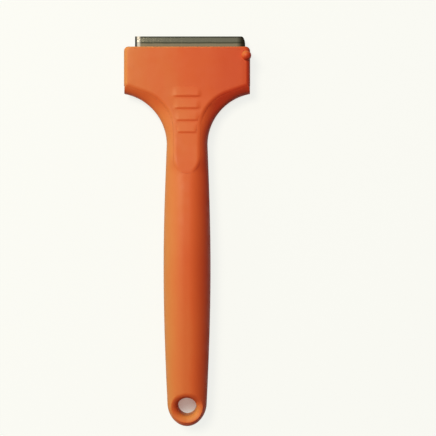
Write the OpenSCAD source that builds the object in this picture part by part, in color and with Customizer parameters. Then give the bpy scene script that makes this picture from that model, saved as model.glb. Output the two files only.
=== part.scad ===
// Razor blade scraper: a moulded T-handle whose front jaw rocks on a cross pin and pinches a single-edge blade.
// It lies on its flat back. +Y runs along the handle to the cutting edge, +X is right and +Z is up.
// Places along the handle are stations, measured from the butt end; heights are measured from the flat back.

/* [Blade] */
// Length of the blade along its cutting edge
blade_w = 38.1; // [36:0.1:39]
// Depth of the blade from its cutting edge to the back of its spine
blade_d = 19.05; // [17.5:0.05:20]
// Thickness of the steel strip
blade_t = 0.25; // [0.2:0.01:0.4]
// Width of the ground edge
grind_d = 2; // [0.8:0.1:2.5]
// Depth of the folded spine
spine_d = 5.6; // [4.5:0.1:6.5]
// Thickness over the folded spine
spine_t = 1.2; // [1:0.05:1.6]
// Radius of the notch in each end of the blade
notch_r = 2.2; // [1:0.1:2.6]
// Distance of the notches from the cutting edge
notch_from_edge = 8.7; // [7:0.1:10]
// How far the cutting edge stands out of the head
blade_reveal = 4; // [2.5:0.1:6]
// How far the blade sits to the right of the middle
blade_shift = 1; // [0:0.1:1.2]

/* [Head] */
// Width of the head
head_w = 43.4; // [42.5:0.1:50]
// Length of the head's straight sides
head_side = 15.9; // [15:0.1:18]
// Height of the front face of the head
head_t = 8; // [7.4:0.1:9]
// Thickness of the rear jaw under the blade
rear_jaw_t = 3.2; // [2.6:0.1:3.8]
// Radius of the two front corners of the head, seen from above
corner_r = 1.5; // [0.8:0.1:3]
// Width of the rounded band along the sides of the front face
head_band = 1.6; // [1:0.1:2.2]
// Height of the rounded band along the sides of the front face
head_band_drop = 1.5; // [1:0.1:2]

/* [Neck and shoulders] */
// Width of the neck at its narrowest place
neck_w = 14.1; // [13.2:0.1:15.5]
// Station of the narrowest place of the neck
neck_s = 96.9; // [94:0.1:104]
// Length of the shoulders from the neck to the corners of the head
shoulder_len = 17.7; // [16.5:0.1:20]
// Angle that each shoulder sweeps through
shoulder_sweep = 79; // [60:1:85]

/* [Grip] */
// Width of the grip at its belly
belly_w = 16.2; // [15:0.1:19]
// Station of the belly
belly_s = 54.5; // [48:0.5:60]
// Width of the grip where the rounded butt takes over
butt_w = 12.8; // [12:0.1:14.5]
// Length of the rounded butt
butt_round = 7.6; // [6:0.1:9]
// Thickness of the grip at its crown
grip_t = 12.6; // [11.6:0.1:14]
// Thickness of the grip at the butt
butt_t = 10; // [9:0.1:11.5]
// Station where the crown starts to fall towards the head
crown_end_s = 58; // [54:0.5:64]
// Height of the widest line of the grip
grip_waist_z = 5.8; // [5:0.1:6.5]
// Rounding of the long edges of the back
back_round = 2.4; // [1.6:0.1:2.6]

/* [Jaw cover] */
// Width of the thumb tongue
tongue_w = 9.3; // [8.6:0.1:10]
// Station of the rounded tip of the tongue
tip_s = 86.8; // [84:0.1:89]
// How far the cover's lower corners lie above the corners of the head
cover_setback = 2.6; // [2:0.1:3.4]
// Slope of the cover's lower edges
cover_slope = 19.5; // [12:0.5:26]
// Radius of the curve from the cover's lower edges into the tongue
cover_curve_r = 13.8; // [12:0.1:15]
// Bevel along the tongue and the lower edges
cover_bevel = 0.8; // [0.4:0.05:0.9]
// How far the tongue stands proud of the shoulders
cover_proud = 0.8; // [0.4:0.05:1.2]
// Number of thumb ribs
rib_count = 4; // [2:1:5]
// Spacing of the thumb ribs
rib_pitch = 4.15; // [3.6:0.05:4.6]
// Length of each thumb rib along the handle
rib_len = 3.2; // [2:0.1:3.4]
// Height of the thumb ribs
rib_h = 0.5; // [0.3:0.05:0.8]
// Width of the rib nearest the grip
rib_w_low = 6.4; // [5:0.1:7]
// Width of the rib nearest the head
rib_w_high = 8.8; // [7:0.1:10]
// Distance from the tongue's tip to the first rib
rib_from_tip = 14.2; // [13:0.1:16]
// Diameter of the finger lug on the corner
lug_d = 3.3; // [2.6:0.1:4]
// Height of the finger lug's dome
lug_dome = 1.1; // [0.6:0.05:1.6]
// Height of the finger lug below the front face
lug_skirt = 1.8; // [1.2:0.1:2.6]
// Distance of the finger lug from the front edge of the head
lug_from_front = 3.1; // [2.4:0.1:5]
// How far the finger lug overhangs the side of the head
lug_overhang = 0.35; // [0:0.05:0.8]

/* [Hinge and spring] */
// Diameter of the hinge pin
pin_d = 1.2; // [1:0.05:1.4]
// Length of the hinge pin
pin_len = 7.8; // [7:0.1:8]
// Wall of the hinge posts past the ends of the pin
post_wall = 0.5; // [0.3:0.05:0.6]
// Diameter of the hinge knuckles
knuckle_d = 2.3; // [2:0.05:2.6]
// Width of the knuckle on the jaw cover
knuckle_w = 3.4; // [2.6:0.1:3.8]
// Distance from the tongue's tip to the hinge pin
pin_from_tip = 6.8; // [6.2:0.1:7.4]
// Thickness of the tongue over the hinge
tail_t = 1; // [0.95:0.05:1.3]
// Angle that the jaw opens through
open_angle = 12; // [8:1:12]
// Outside diameter of the jaw spring
spring_d = 3.2; // [2.6:0.1:3.4]
// Wire diameter of the jaw spring
spring_wire = 0.36; // [0.3:0.02:0.38]
// Turns of the jaw spring
spring_turns = 3; // [2:1:3]
// Distance from the tongue's tip to the middle of the jaw spring
spring_from_tip = 3.2; // [2.8:0.1:3.6]

/* [Hang hole] */
// Diameter of the hang hole
hang_d = 6.4; // [5:0.1:7]
// Diameter of the rounded mouth of the hang hole
mouth_d = 10.8; // [8.5:0.1:11]
// Depth of the rounded mouth
mouth_depth = 2.4; // [1.5:0.1:3]
// Station of the hang hole
hang_s = 6.9; // [6.6:0.1:8]

/* [Back plate] */
// Width of the back plate
plate_w = 7.6; // [6.8:0.1:8]
// Length of the back plate
plate_len = 58; // [50:1:60]
// Thickness of the back plate
plate_t = 1.6; // [1.2:0.1:2]
// Station of the middle of the back plate
plate_s = 47; // [45:0.5:49]
// Ledge that the back plate seats on
plate_ledge = 0.9; // [0.6:0.1:1.2]
// Depth of the hollow cells above the back plate
cell_depth = 7; // [5:0.1:7.2]
// Number of rows of hollow cells
cell_count = 4; // [3:1:5]
// Thickness of the rib along the middle of the cells
middle_rib_t = 1.2; // [1:0.1:1.6]
// Thickness of the webs between the cells
web_t = 5; // [4:0.1:6]
// Diameter of the pegs on the back plate
peg_d = 2; // [1.6:0.1:2.4]
// Length of the pegs on the back plate
peg_len = 4; // [3:0.1:5]

/* [Clearances] */
// Gap beside the tongue and along the cover's lower edges
seam_gap = 0.15; // [0.12:0.01:0.3]
// Gap left round the tip of the tongue as it swings down
tip_clear = 0.11; // [0.08:0.01:0.2]
// Gap between faces that lie on each other
seat_gap = 0.05; // [0.03:0.01:0.1]
// Gap at the ends and the back of the blade
blade_gap = 0.15; // [0.1:0.05:0.3]
// Radial play of the hinge pin in the jaw cover's knuckle
pin_play = 0.05; // [0.02:0.01:0.1]
// Radial play of the pin and the pegs in the handle
fixed_play = 0.02; // [0.01:0.01:0.05]
// Room between the hinge posts and what turns over them
turn_gap = 0.2; // [0.15:0.01:0.3]

/* [Hidden] */

// Overrun of every cut past the face that it opens
over = 2;
// Half the width of the small flat along the crown
crown_flat = 0.6;
// Least width of the rounded side of the handle
band_least = 0.8;
// How far joined pieces of one moulding sink into each other
weld = 0.3;
// Width of the web over the knuckle, as a share of the knuckle
knuckle_web_share = 0.8;
// Counts of the steps along curves
quarter_steps = 7;
butt_rings = 6;
grip_rings = 16;
shoulder_rings = 10;
corner_steps = 4;
fillet_steps = 10;
ramp_steps = 4;
side_steps = 3;
tip_steps = 9;
mouth_steps = 8;
dome_steps = 6;
round_end_steps = 12;
rings_per_turn = 8;
wire_sides = 6;
// Angle at which the tongue's tip ends in a short straight
tip_sweep = 86;

plastic = "#d8622e";
plastic_shade = "#c4552a";
steel = "#a8a49c";
dark_steel = "#8d8778";

corner_s = neck_s + shoulder_len;
front_s = corner_s + head_side;
edge_s = front_s + blade_reveal;
origin_s = edge_s / 2;
head_half = head_w / 2;
neck_half = neck_w / 2;
belly_half = belly_w / 2;
butt_half = butt_w / 2;
tongue_half = tongue_w / 2;

// Heights of the blade's slot and of the plane where the two jaws part
parting_z = rear_jaw_t + spine_t + 2 * seat_gap;
blade_z = rear_jaw_t + seat_gap + spine_t / 2;
spine_s = edge_s - blade_d;

// The cover's lower edge is a straight slope, then an arc that runs into the tongue
cover_corner_s = corner_s + cover_setback;
curve_x = tongue_half + cover_curve_r;
curve_s = cover_corner_s + ((curve_x - head_half) * sin(cover_slope) - cover_curve_r) / cos(cover_slope);
touch_x = curve_x - cover_curve_r * sin(cover_slope);
touch_s = curve_s + cover_curve_r * cos(cover_slope);
tip_centre_s = tip_s + tongue_half;

pin_r = pin_d / 2;
pin_s = tip_s + pin_from_tip;
knuckle_r = knuckle_d / 2;
pin_z = top_z(pin_s) - tail_t - turn_gap - knuckle_r;
tail_s = pin_s + knuckle_r + turn_gap;
tail_floor_z = pin_z - knuckle_r - turn_gap;
post_in = knuckle_w / 2 + seam_gap;
post_out = pin_len / 2 + post_wall;

// Room round the tongue's tip: the foot of its bevel swings out as it goes down
tip_rise = top_z(tip_s) - cover_bevel - pin_z;
tip_gap = tip_rise * sin(open_angle) - pin_from_tip * (1 - cos(open_angle)) + tip_clear;

spring_s = tip_s + spring_from_tip;
spring_r = (spring_d - spring_wire) / 2;
spring_low_z = tail_floor_z + seat_gap;
spring_high_z = top_z(spring_s + spring_d / 2) - tail_t - 2 * seat_gap;

lug_r = lug_d / 2;
lug_x = head_half + lug_overhang - lug_r;
lug_s = front_s - lug_from_front;

cell_w = (plate_w - middle_rib_t) / 2 - plate_ledge;
cell_x = (middle_rib_t + cell_w) / 2;
cell_run = plate_len - 2 * plate_ledge;
cell_len = (cell_run - (cell_count - 1) * web_t) / cell_count;
cell_pitch = cell_len + web_t;

function limited(t) = min(1, max(0, t));
function ease(t) = let (u = limited(t)) u * u * (3 - 2 * u);
function quarter_fall(t) = 1 - cos(90 * limited(t));
function mix(a, b, t) = a + (b - a) * t;

// Height of the crown of the grip, of the tongue and of the head's front face
function top_z(s) = s < crown_end_s
    ? mix(grip_t, butt_t, quarter_fall((crown_end_s - s) / crown_end_s))
    : mix(grip_t, head_t, ease((s - crown_end_s) / (cover_corner_s - crown_end_s)));

// Height of the handle itself, which drops below the tongue from its tip onwards
function handle_z(s) = top_z(s) - cover_proud * ease((s - tip_s) / (curve_s - tip_s));

// Height of the widest line of the handle
function waist_z(s) = mix(grip_waist_z, parting_z, ease((s - crown_end_s) / (corner_s - crown_end_s)));

// Half width of the outline seen from above
function shoulder_half(s) =
    let (rise = limited((s - neck_s) / shoulder_len) * sin(shoulder_sweep))
    mix(neck_half, head_half, (1 - sqrt(1 - rise * rise)) / (1 - cos(shoulder_sweep)));

function corner_half(s) =
    let (run = limited((s - front_s + corner_r) / corner_r))
    head_half - corner_r * (1 - sqrt(1 - run * run));

function body_half(s) = s < belly_s
    ? mix(belly_half, butt_half, quarter_fall((belly_s - s) / belly_s))
    : s < neck_s
    ? mix(belly_half, neck_half, quarter_fall((s - belly_s) / (neck_s - belly_s)))
    : s < corner_s ? shoulder_half(s) : corner_half(s);

// Half width of the cover's outline
function cover_half(s) = s < curve_s
    ? tongue_half
    : s < touch_s
    ? curve_x - sqrt(cover_curve_r * cover_curve_r - (s - curve_s) * (s - curve_s))
    : min(head_half, touch_x + (s - touch_s) / tan(cover_slope));

// Half width of the flat top of the handle
function flat_half(s) =
    min(body_half(s) - band_least, mix(crown_flat, cover_half(s), ease((s - tip_s) / (curve_s - tip_s))));

// Share of its full section that the rounded butt has reached
function butt_share(s) = let (u = 1 - limited(s / butt_round)) sqrt(1 - u * u);

// One cross-section of the handle: an oval with a flat top and a flat back
function section(s) =
    let (
        k = butt_share(s),
        side = body_half(s) * k,
        flat = flat_half(s) * k,
        back = (body_half(s) - back_round) * k,
        waist = waist_z(s),
        rise = (handle_z(s) - waist) * k,
        fall = waist * k,
        turns = [for (j = [0:quarter_steps]) 90 * j / quarter_steps],
        last = quarter_steps
    )
    concat(
        [for (a = turns) [flat + (side - flat) * cos(a), s, waist + rise * sin(a)]],
        [for (a = turns) [-flat - (side - flat) * sin(a), s, waist + rise * cos(a)]],
        [for (j = [1:last]) [-back - (side - back) * cos(turns[j]), s, waist - fall * sin(turns[j])]],
        [for (j = [0:last - 1]) [back + (side - back) * sin(turns[j]), s, waist - fall * cos(turns[j])]]
    );

stations = concat(
    [for (i = [1:butt_rings]) butt_round * (1 - cos(90 * i / butt_rings))],
    [for (i = [1:grip_rings]) mix(butt_round, neck_s, i / grip_rings)],
    [for (i = [1:shoulder_rings])
        neck_s + shoulder_len * sin(shoulder_sweep * i / shoulder_rings) / sin(shoulder_sweep)],
    [cover_corner_s],
    [for (i = [0:corner_steps]) front_s - corner_r + corner_r * sin(90 * i / corner_steps)]
);

function quad(a, b, c, d) = [[a, b, c], [a, c, d]];

// Solid skinned over rings of equal length, closed by a point at the start and by a flat cap at the end
module skin_from_point(start, rings) {
    n = len(rings[0]);
    count = len(rings);
    points = concat([start], [for (ring = rings) each ring]);
    fan = [for (j = [0:n - 1]) [0, 1 + (j + 1) % n, 1 + j]];
    sides = [
        for (r = [0:count - 2], j = [0:n - 1])
            let (a = 1 + r * n + j, b = 1 + r * n + (j + 1) % n)
            each quad(a, b, b + n, a + n)
    ];
    cap = [for (j = [0:n - 1]) 1 + (count - 1) * n + j];
    polyhedron(points, concat(fan, sides, [cap]));
}

module handle_form() {
    skin_from_point([0, 0, waist_z(0)], [for (s = stations) section(s)]);
}

// Right half of the cover's outline, from the front edge to the tip of the tongue
function curve_points(inset) = [
    for (i = [0:fillet_steps])
        let (a = mix(90 + cover_slope, 180, i / fillet_steps), r = cover_curve_r + inset)
        [curve_x + r * cos(a), curve_s + r * sin(a)]
];

function tip_points(inset, end_inset) = [
    for (i = [0:tip_steps])
        let (a = tip_sweep * i / tip_steps)
        [(tongue_half - inset) * cos(a), tip_centre_s - (tongue_half - end_inset) * sin(a)]
];

function slope_s(x, inset) = cover_corner_s + ((x - head_half) * sin(cover_slope) + inset) / cos(cover_slope);

function cover_points(inset, side_inset, front_inset) =
    let (x = head_half - side_inset, front = front_s - front_inset)
    concat(
        [for (i = [0:corner_steps])
            let (a = 90 - 90 * i / corner_steps)
            [x - corner_r * (1 - cos(a)), front - corner_r * (1 - sin(a))]],
        [[x, slope_s(x, inset)]],
        curve_points(inset),
        [for (i = [1:ramp_steps]) [tongue_half - inset, mix(curve_s, tail_s, i / ramp_steps)]],
        [for (i = [1:side_steps - 1]) [tongue_half - inset, mix(tail_s, tip_centre_s, i / side_steps)]],
        tip_points(inset, inset)
    );

// Underside of the cover: flat over the blade, then a ramp up to the thin tail over the hinge
function under_z(s) = s >= curve_s
    ? parting_z
    : s > tail_s
    ? mix(top_z(tail_s) - tail_t, parting_z, (s - tail_s) / (curve_s - tail_s))
    : top_z(s) - tail_t;

// Bevelled plate of the cover: its outline on the underside, at the foot of the bevel and on the top
module cover_plate() {
    outer = cover_points(0, 0, 0);
    inner = cover_points(cover_bevel, head_band, cover_bevel / 2);
    n = len(outer);
    head_points = corner_steps + 2;
    drops = [for (i = [0:n - 1]) i < head_points ? head_band_drop : cover_bevel];
    foot = [for (p = outer) [p.x, p.y, under_z(p.y)]];
    shelf = [for (i = [0:n - 1]) [outer[i].x, outer[i].y, top_z(outer[i].y) - drops[i]]];
    crown = [for (p = inner) [p.x, p.y, top_z(p.y)]];
    levels = [foot, shelf, crown];
    points = [for (level = levels, side = [1, -1], p = level) [side * p.x, p.y, p.z]];
    top = 4 * n;
    caps = [
        for (i = [0:n - 2])
            each concat(
                quad(top + i, top + i + 1, top + n + i + 1, top + n + i),
                quad(n + i, n + i + 1, i + 1, i)
            )
    ];
    walls = [
        for (level = [0, 2 * n], i = [0:n - 2])
            let (r = level + i, l = level + n + i, up = 2 * n)
            each concat(quad(r, r + 1, r + 1 + up, r + up), quad(l + up, l + 1 + up, l + 1, l))
    ];
    ends = [
        for (level = [0, 2 * n])
            let (r = level, l = level + n, up = 2 * n, e = n - 1)
            each concat(quad(l, r, r + up, l + up), quad(r + e, l + e, l + e + up, r + e + up))
    ];
    polyhedron(points, concat(caps, walls, ends));
}

// Turns an outline drawn in station and height into a slab across the handle
module across(width) {
    rotate([90, 0, 90])
        linear_extrude(width, center = true)
            children();
}

// Room that the handle leaves for the jaw cover, seen from above
module cover_room_plan() {
    far_x = head_half + over;
    right = concat(
        [[far_x, front_s + over], [far_x, slope_s(far_x, -seam_gap)]],
        curve_points(-seam_gap),
        tip_points(-seam_gap, -tip_gap)
    );
    n = len(right);
    polygon(concat(right, [for (i = [n - 1:-1:0]) [-right[i].x, right[i].y]]));
}

// Room that the handle leaves for the jaw cover, seen from the side
module cover_room_side() {
    high_z = grip_t + over;
    polygon([
        [front_s + over, high_z],
        [front_s + over, parting_z - seat_gap],
        [curve_s, parting_z - seat_gap],
        [tail_s, under_z(tail_s) - seat_gap],
        [tail_s, tail_floor_z],
        [tip_s - over, tail_floor_z],
        [tip_s - over, high_z]
    ]);
}

module cover_room() {
    intersection() {
        linear_extrude(grip_t + over)
            cover_room_plan();
        across(head_w + 2 * over)
            cover_room_side();
    }
}

// Slot that the blade and its spine slide into from the front
module blade_room() {
    translate([blade_shift - blade_w / 2 - blade_gap, spine_s - blade_gap, rear_jaw_t])
        cube([blade_w + 2 * blade_gap, front_s - spine_s + blade_gap + over, spine_t + 2 * seat_gap]);
}

// Through hole with a rounded mouth on the front
module hang_room() {
    r = hang_d / 2;
    flare = mouth_d / 2 - r;
    mouth_z = top_z(hang_s);
    profile = concat(
        [[0, -over], [r, -over]],
        [for (i = [0:mouth_steps])
            let (a = 90 * i / mouth_steps)
            [r + flare * (1 - cos(a)), mouth_z - mouth_depth * (1 - sin(a))]],
        [[r + flare, mouth_z + over], [0, mouth_z + over]]
    );
    translate([0, hang_s, 0])
        rotate_extrude()
            polygon(profile);
}

// Plate outline with round ends, along the handle
module round_slot(length, width) {
    r = width / 2;
    reach = length / 2 - r;
    polygon(concat(
        [for (i = [0:round_end_steps])
            let (a = 180 * i / round_end_steps)
            [r * cos(a), reach + r * sin(a)]],
        [for (i = [0:round_end_steps])
            let (a = 180 + 180 * i / round_end_steps)
            [r * cos(a), r * sin(a) - reach]]
    ));
}

module along_cells(count) {
    for (i = [0:count - 1])
        translate([0, plate_s + (i - (count - 1) / 2) * cell_pitch, 0])
            children();
}

module pin_bar(radius, length) {
    translate([-length / 2, pin_s, pin_z])
        rotate([0, 90, 0])
            cylinder(r = radius, h = length);
}

module hinge_post() {
    width = post_out - post_in;
    translate([post_in, pin_s, pin_z])
        rotate([0, 90, 0])
            cylinder(r = knuckle_r, h = width);
    translate([post_in, pin_s - knuckle_r, tail_floor_z - weld])
        cube([width, knuckle_d, pin_z - tail_floor_z + weld]);
}

module in_frame() {
    translate([0, -origin_s, 0])
        children();
}

module handle() {
    color(plastic)
        in_frame()
            difference() {
                union() {
                    difference() {
                        handle_form();
                        cover_room();
                        blade_room();
                        hang_room();
                        translate([0, plate_s, -over])
                            linear_extrude(plate_t + over)
                                round_slot(plate_len + 2 * seam_gap, plate_w + 2 * seam_gap);
                        for (side = [-1, 1])
                            along_cells(cell_count)
                                translate([side * cell_x, 0, plate_t - over])
                                    linear_extrude(cell_depth + over)
                                        round_slot(cell_len, cell_w);
                    }
                    hinge_post();
                    mirror([1, 0, 0])
                        hinge_post();
                }
                pin_bar(pin_r + fixed_play, pin_len + 2 * seam_gap);
                along_cells(cell_count - 1)
                    translate([0, 0, plate_t - over])
                        cylinder(r = peg_d / 2 + fixed_play, h = peg_len + over + seam_gap);
            }
}

module back_plate() {
    color(plastic_shade)
        in_frame() {
            translate([0, plate_s, 0])
                linear_extrude(plate_t)
                    round_slot(plate_len, plate_w);
            along_cells(cell_count - 1)
                translate([0, 0, plate_t - weld])
                    cylinder(d = peg_d, h = peg_len + weld);
        }
}

module thumb_rib(index) {
    s = tip_s + rib_from_tip + index * rib_pitch;
    width = mix(rib_w_low, rib_w_high, index / (rib_count - 1));
    across(width)
        polygon([
            [s, top_z(s) - weld],
            [s, top_z(s) + rib_h],
            [s + rib_len, top_z(s + rib_len)],
            [s + rib_len, top_z(s + rib_len) - weld]
        ]);
}

module finger_lug() {
    profile = concat(
        [[0, 0], [lug_r, 0]],
        [for (i = [0:dome_steps])
            let (a = 90 * i / dome_steps)
            [lug_r * cos(a), lug_skirt + lug_dome * sin(a)]]
    );
    translate([lug_x, lug_s, head_t - lug_skirt])
        rotate_extrude()
            polygon(profile);
}

module cover_knuckle() {
    web = knuckle_d * knuckle_web_share;
    pin_bar(knuckle_r, knuckle_w);
    translate([-knuckle_w / 2, pin_s - web / 2, pin_z])
        cube([knuckle_w, web, top_z(pin_s) - tail_t + weld - pin_z]);
}

module jaw_cover() {
    color(plastic)
        in_frame()
            difference() {
                union() {
                    cover_plate();
                    cover_knuckle();
                    finger_lug();
                    for (i = [0:rib_count - 1])
                        thumb_rib(i);
                }
                pin_bar(pin_r + pin_play, knuckle_w + over);
            }
}

module hinge_pin() {
    color(steel)
        in_frame()
            pin_bar(pin_r, pin_len);
}

// Helix of the jaw spring and the rings of its wire
spring_rings = spring_turns * rings_per_turn;
spring_climb = spring_high_z - spring_low_z - spring_wire;

function spring_point(i) =
    let (a = 360 * i / rings_per_turn)
    [spring_r * cos(a), spring_r * sin(a), spring_wire / 2 + spring_climb * i / spring_rings];

function wire_ring(i) =
    let (
        a = 360 * i / rings_per_turn,
        out = [cos(a), sin(a), 0],
        rise = atan(spring_climb / (spring_turns * 360 * spring_r * PI / 180)),
        lift = [sin(a) * sin(rise), -cos(a) * sin(rise), cos(rise)],
        centre = spring_point(i)
    )
    [for (k = [0:wire_sides - 1])
        let (b = 360 * k / wire_sides)
        centre + (out * cos(b) + lift * sin(b)) * spring_wire / 2];

spring_gap = min([
    for (i = [0:spring_rings], j = [0:spring_rings])
        if (abs(j - i) >= rings_per_turn / 2) norm(spring_point(i) - spring_point(j))
]) - spring_wire;
echo(spring_least_gap = spring_gap);

module jaw_spring() {
    n = wire_sides;
    points = [for (i = [0:spring_rings]) each wire_ring(i)];
    sides = [
        for (i = [0:spring_rings - 1], k = [0:n - 1])
            let (a = i * n + k, b = i * n + (k + 1) % n)
            each quad(a, a + n, b + n, b)
    ];
    low_end = [for (k = [1:n - 2]) [0, k, k + 1]];
    last = spring_rings * n;
    high_end = [for (k = [1:n - 2]) [last, last + k + 1, last + k]];
    color(steel)
        in_frame()
            translate([0, spring_s, spring_low_z])
                polyhedron(points, concat(sides, low_end, high_end));
}

module blade() {
    fold_t = (spine_t - blade_t) / 2;
    back_s = spine_s + fold_t;
    half_t = blade_t / 2;
    color(dark_steel)
        in_frame()
            translate([blade_shift, 0, blade_z])
                difference() {
                    across(blade_w)
                        polygon([
                            [back_s, -half_t],
                            [edge_s - grind_d, -half_t],
                            [edge_s, 0],
                            [edge_s - grind_d, half_t],
                            [back_s, half_t]
                        ]);
                    for (side = [-1, 1])
                        translate([side * blade_w / 2, edge_s - notch_from_edge, -over])
                            cylinder(r = notch_r, h = 2 * over);
                }
}

module blade_spine() {
    half_t = blade_t / 2;
    fold_t = (spine_t - blade_t) / 2;
    fold_r = spine_t / 2;
    lip_s = spine_s + spine_d;
    color(steel)
        in_frame()
            translate([blade_shift, 0, blade_z])
                across(blade_w)
                    polygon(concat(
                        [for (i = [0:round_end_steps])
                            let (a = 90 + 180 * i / round_end_steps)
                            [spine_s + fold_r + fold_r * cos(a), fold_r * sin(a)]],
                        [
                            [lip_s, -fold_r],
                            [lip_s, -half_t],
                            [spine_s + fold_t, -half_t],
                            [spine_s + fold_t, half_t],
                            [lip_s, half_t],
                            [lip_s, fold_r]
                        ]
                    ));
}

handle();
back_plate();
jaw_cover();
hinge_pin();
jaw_spring();
blade();
blade_spine();
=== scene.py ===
# %% [markdown]
# # A razor blade scraper
# The tool is a T-shaped holder moulded in orange polypropylene. The front of its head is a jaw that
# rocks on a cross pin inside the neck and pinches a single-edge blade. Everything here is built around
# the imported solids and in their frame: +Y runs along the handle to the cutting edge, +X is right and
# +Z is up. Sizes are written in millimetres, as on a drawing, and become metres when a mesh is made.

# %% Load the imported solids
import math

import bmesh
import bpy
from mathutils.geometry import intersect_point_line
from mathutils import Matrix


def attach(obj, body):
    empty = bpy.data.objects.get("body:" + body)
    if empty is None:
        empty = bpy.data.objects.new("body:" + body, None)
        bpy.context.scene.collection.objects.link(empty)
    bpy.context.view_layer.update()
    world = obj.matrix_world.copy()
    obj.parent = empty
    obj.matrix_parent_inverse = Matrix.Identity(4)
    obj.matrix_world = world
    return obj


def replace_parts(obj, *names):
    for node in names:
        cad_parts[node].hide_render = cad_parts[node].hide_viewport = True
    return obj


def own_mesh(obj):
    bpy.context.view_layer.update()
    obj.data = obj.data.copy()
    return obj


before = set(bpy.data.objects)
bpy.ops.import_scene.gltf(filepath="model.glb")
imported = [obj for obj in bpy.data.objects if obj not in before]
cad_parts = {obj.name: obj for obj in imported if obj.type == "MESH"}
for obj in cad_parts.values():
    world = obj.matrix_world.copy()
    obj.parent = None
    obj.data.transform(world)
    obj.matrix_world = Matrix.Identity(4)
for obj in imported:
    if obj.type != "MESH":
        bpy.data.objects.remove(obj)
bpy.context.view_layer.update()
MM = 0.001
print("solids:", ", ".join(sorted(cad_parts)))

# %% [markdown]
# ## Sizes that several pieces share
# A place along the handle is a station, measured from the butt end. The solids have their origin in
# the middle of the length, so one subtraction takes a station to Y. The heights are the same curves
# that shaped the solids: a crown that swells under the palm and falls to the flat front of the head.

# %% Stations of the handle
BELLY_S = 54.5
CROWN_END_S = 58
TIP_S = 86.8
NECK_S = 96.9
SHOULDER_LEN = 17.7
HEAD_LEN = 15.9
BLADE_OUT = 4
COVER_STEP = 2.6
CORNER_S = NECK_S + SHOULDER_LEN
COVER_CORNER_S = CORNER_S + COVER_STEP
FRONT_S = CORNER_S + HEAD_LEN
EDGE_S = FRONT_S + BLADE_OUT
ORIGIN_S = EDGE_S / 2
print("length in mm:", EDGE_S)

# %% Half widths, heights and thicknesses
HEAD_HALF = 21.7
NECK_HALF = 7.05
BELLY_HALF = 8.1
BUTT_HALF = 6.4
TONGUE_HALF = 4.65
PARTING_Z = 4.5
GRIP_T = 12.6
BUTT_T = 10
HEAD_T = 8
print("head is", 2 * HEAD_HALF, "mm wide and", HEAD_T, "mm thick")


# %% Curves of the handle
def mix(a, b, t):
    return a + (b - a) * t


def limited(t):
    return min(1.0, max(0.0, t))


def ease(t):
    """A smooth rise from 0 to 1, level at both ends."""
    u = limited(t)
    return u * u * (3 - 2 * u)


def quarter_fall(t):
    """The share of a fall that starts level and steepens, as a quarter of a cosine wave does."""
    return 1 - math.cos(math.pi / 2 * limited(t))


def spread(a, b, count):
    """Evenly spaced values from a to b, in this many steps."""
    return [mix(a, b, i / count) for i in range(count + 1)]


def top_z(s):
    """Height of the crown of the grip, of the tongue and of the head's front face."""
    if s < CROWN_END_S:
        return mix(GRIP_T, BUTT_T, quarter_fall((CROWN_END_S - s) / CROWN_END_S))
    return mix(GRIP_T, HEAD_T, ease((s - CROWN_END_S) / (COVER_CORNER_S - CROWN_END_S)))


print("crown in mm:", [round(top_z(s), 2) for s in (0, 30, 60, 90, 120)])

# %% [markdown]
# ## Outline of the jaw cover
# Seen from above, the front face of the head narrows along two straight slopes, turns through an arc
# into the thumb tongue, and ends in a round tip. The cover fills that outline and the handle leaves
# room round it, so both pieces draw it with the same functions, moved in or out by a chosen distance.

# %% Cover outline
COVER_SLOPE = math.radians(19.5)
CURVE_R = 13.8
CORNER_R = 1.5
CURVE_X = TONGUE_HALF + CURVE_R
CURVE_S = COVER_CORNER_S + (
    (CURVE_X - HEAD_HALF) * math.sin(COVER_SLOPE) - CURVE_R
) / math.cos(COVER_SLOPE)
TOUCH_X = CURVE_X - CURVE_R * math.sin(COVER_SLOPE)
TOUCH_S = CURVE_S + CURVE_R * math.cos(COVER_SLOPE)
TIP_CENTRE_S = TIP_S + TONGUE_HALF
TIP_TURN = math.radians(87)


def slope_s(x, inset):
    """Station of the straight slope at x, moved into the cover by an inset."""
    return COVER_CORNER_S + ((x - HEAD_HALF) * math.sin(COVER_SLOPE) + inset) / math.cos(COVER_SLOPE)


def arc_points(inset, count):
    """The arc from the slope into the tongue, in steps of equal station."""
    r = CURVE_R + inset
    shares = spread(math.cos(COVER_SLOPE), 0, count)
    return [(CURVE_X - r * math.sqrt(1 - share * share), CURVE_S + r * share) for share in shares]


def tip_points(inset, shift, count):
    """The rounded tip of the tongue, up to a short straight across its end, shifted towards the butt."""
    r = TONGUE_HALF - inset
    turns = spread(0, TIP_TURN, count)
    return [(r * math.cos(a), TIP_CENTRE_S - shift - r * math.sin(a)) for a in turns]


print("tongue starts at station", round(CURVE_S, 2))

# %% [markdown]
# ## From points to solid meshes
# Every piece starts as rings of points that are skinned into a closed shell. Holes and pockets could be
# modelled face by face, but a boolean cut with a second shell is quicker to read and gives the crisp
# rims that a mould leaves. Smooth shading with sharp edges above an angle then shows each curve as one
# surface. A boolean also leaves points along its rims that bend an edge by microns. An export cuts faces
# into triangles and would lay doubled ones there, so these points go before the shading.

# %% Shells from rings
SAME_POINT = 0.001


def make_piece(name, points, faces):
    """A mesh object from points in (x, station, z) millimetres."""
    mesh = bpy.data.meshes.new(name)
    mesh.from_pydata([(x * MM, (s - ORIGIN_S) * MM, z * MM) for x, s, z in points], [], faces)
    shell = bmesh.new()
    shell.from_mesh(mesh)
    bmesh.ops.remove_doubles(shell, verts=shell.verts, dist=SAME_POINT * MM)
    bmesh.ops.recalc_face_normals(shell, faces=shell.faces)
    shell.to_mesh(mesh)
    shell.free()
    piece = bpy.data.objects.new(name, mesh)
    bpy.context.collection.objects.link(piece)
    return piece


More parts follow.
